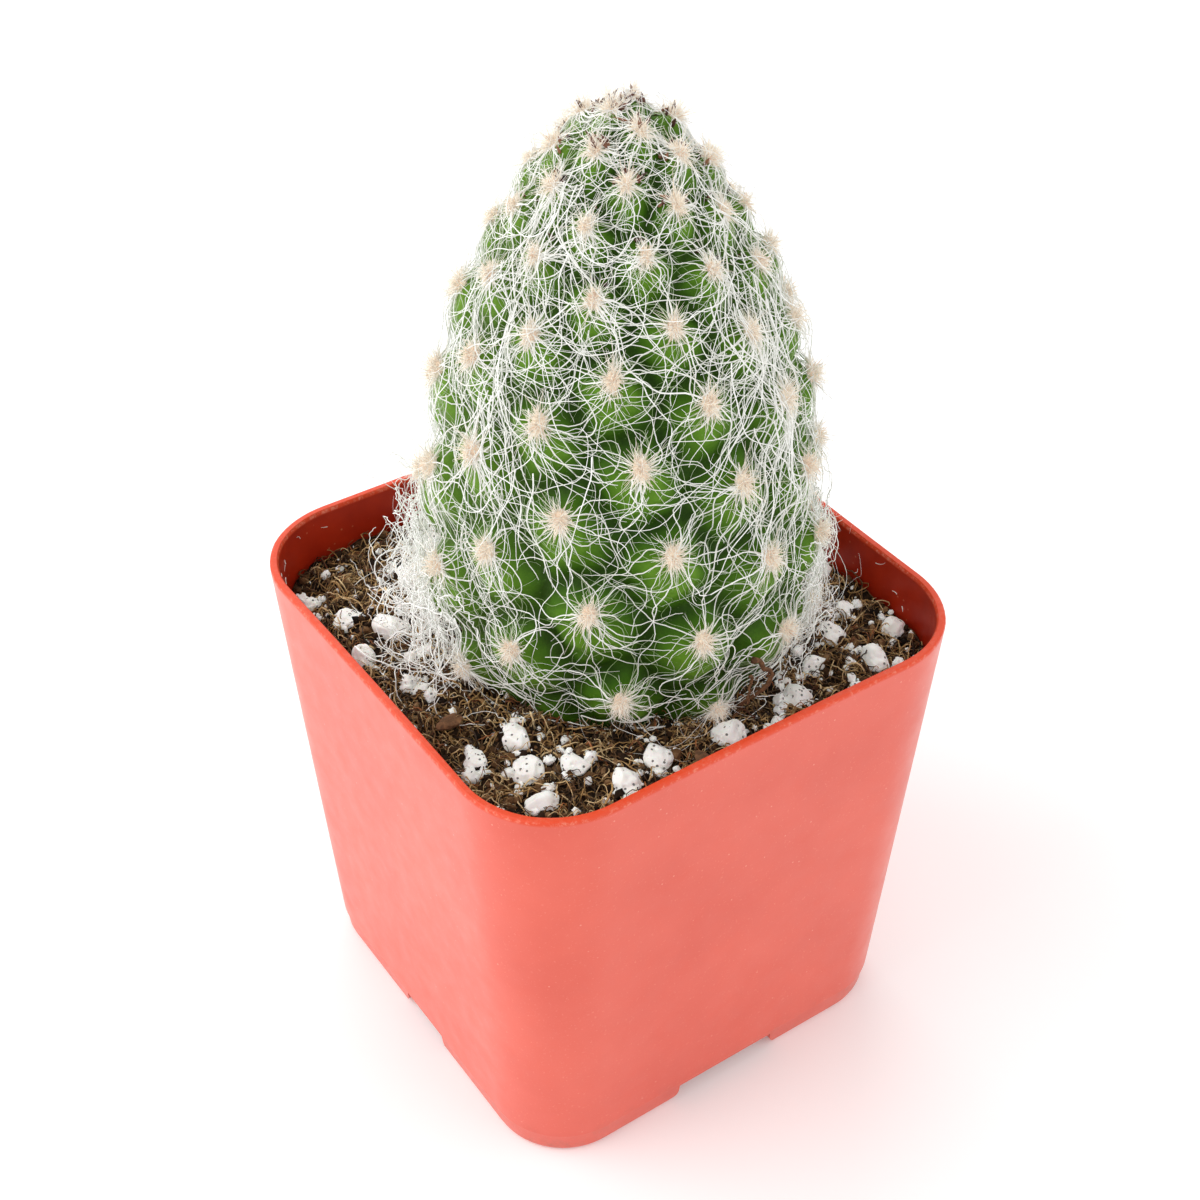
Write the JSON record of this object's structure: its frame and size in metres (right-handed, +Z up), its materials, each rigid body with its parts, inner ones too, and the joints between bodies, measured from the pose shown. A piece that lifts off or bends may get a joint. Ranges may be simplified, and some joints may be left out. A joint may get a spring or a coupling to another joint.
{
  "type": "potted woolly columnar cactus",
  "caption": "Small columnar cactus with tubercles, standing in potting mix with perlite in a square tapered plastic pot on four corner feet.",
  "frame": {"origin": "middle of the pot's underside, on the surface that its corner feet stand on", "axes": "+Z up along the stem; the pot's side walls face X and Y"},
  "size_m": [0.062, 0.062, 0.1192],
  "materials": {
    "pot_plastic": "semi-gloss salmon red with fine speckle",
    "potting_mix": "rough fibrous peat and coir",
    "cactus_green": "waxy, slightly translucent plant skin",
    "young_leaf": "dry, dull",
    "perlite": "rough expanded grain with pits",
    "bark": "rough, dull"
  },
  "bodies": {
    "root": {"pot": "pot_plastic", "potting_mix": "potting_mix", "cactus_stem": "cactus_green", "young_leaf_1": "young_leaf", "young_leaf_2": "young_leaf", "young_leaf_3": "young_leaf", "young_leaf_4": "young_leaf", "young_leaf_5": "young_leaf", "young_leaf_6": "young_leaf", "young_leaf_7": "young_leaf", "perlite_01": "perlite", "perlite_02": "perlite", "perlite_03": "perlite", "perlite_04": "perlite", "perlite_05": "perlite", "perlite_06": "perlite", "perlite_07": "perlite", "perlite_08": "perlite", "perlite_09": "perlite", "perlite_10": "perlite", "perlite_11": "perlite", "perlite_12": "perlite", "perlite_13": "perlite", "perlite_14": "perlite", "perlite_15": "perlite", "perlite_16": "perlite", "perlite_17": "perlite", "perlite_18": "perlite", "perlite_19": "perlite", "perlite_20": "perlite", "perlite_21": "perlite", "perlite_22": "perlite", "perlite_23": "perlite", "perlite_24": "perlite", "perlite_25": "perlite", "perlite_26": "perlite", "perlite_27": "perlite", "perlite_28": "perlite", "perlite_29": "perlite", "perlite_30": "perlite", "perlite_31": "perlite", "perlite_32": "perlite", "bark_chip_1": "bark", "bark_chip_2": "bark", "bark_chip_3": "bark"}
  },
  "joints": []
}
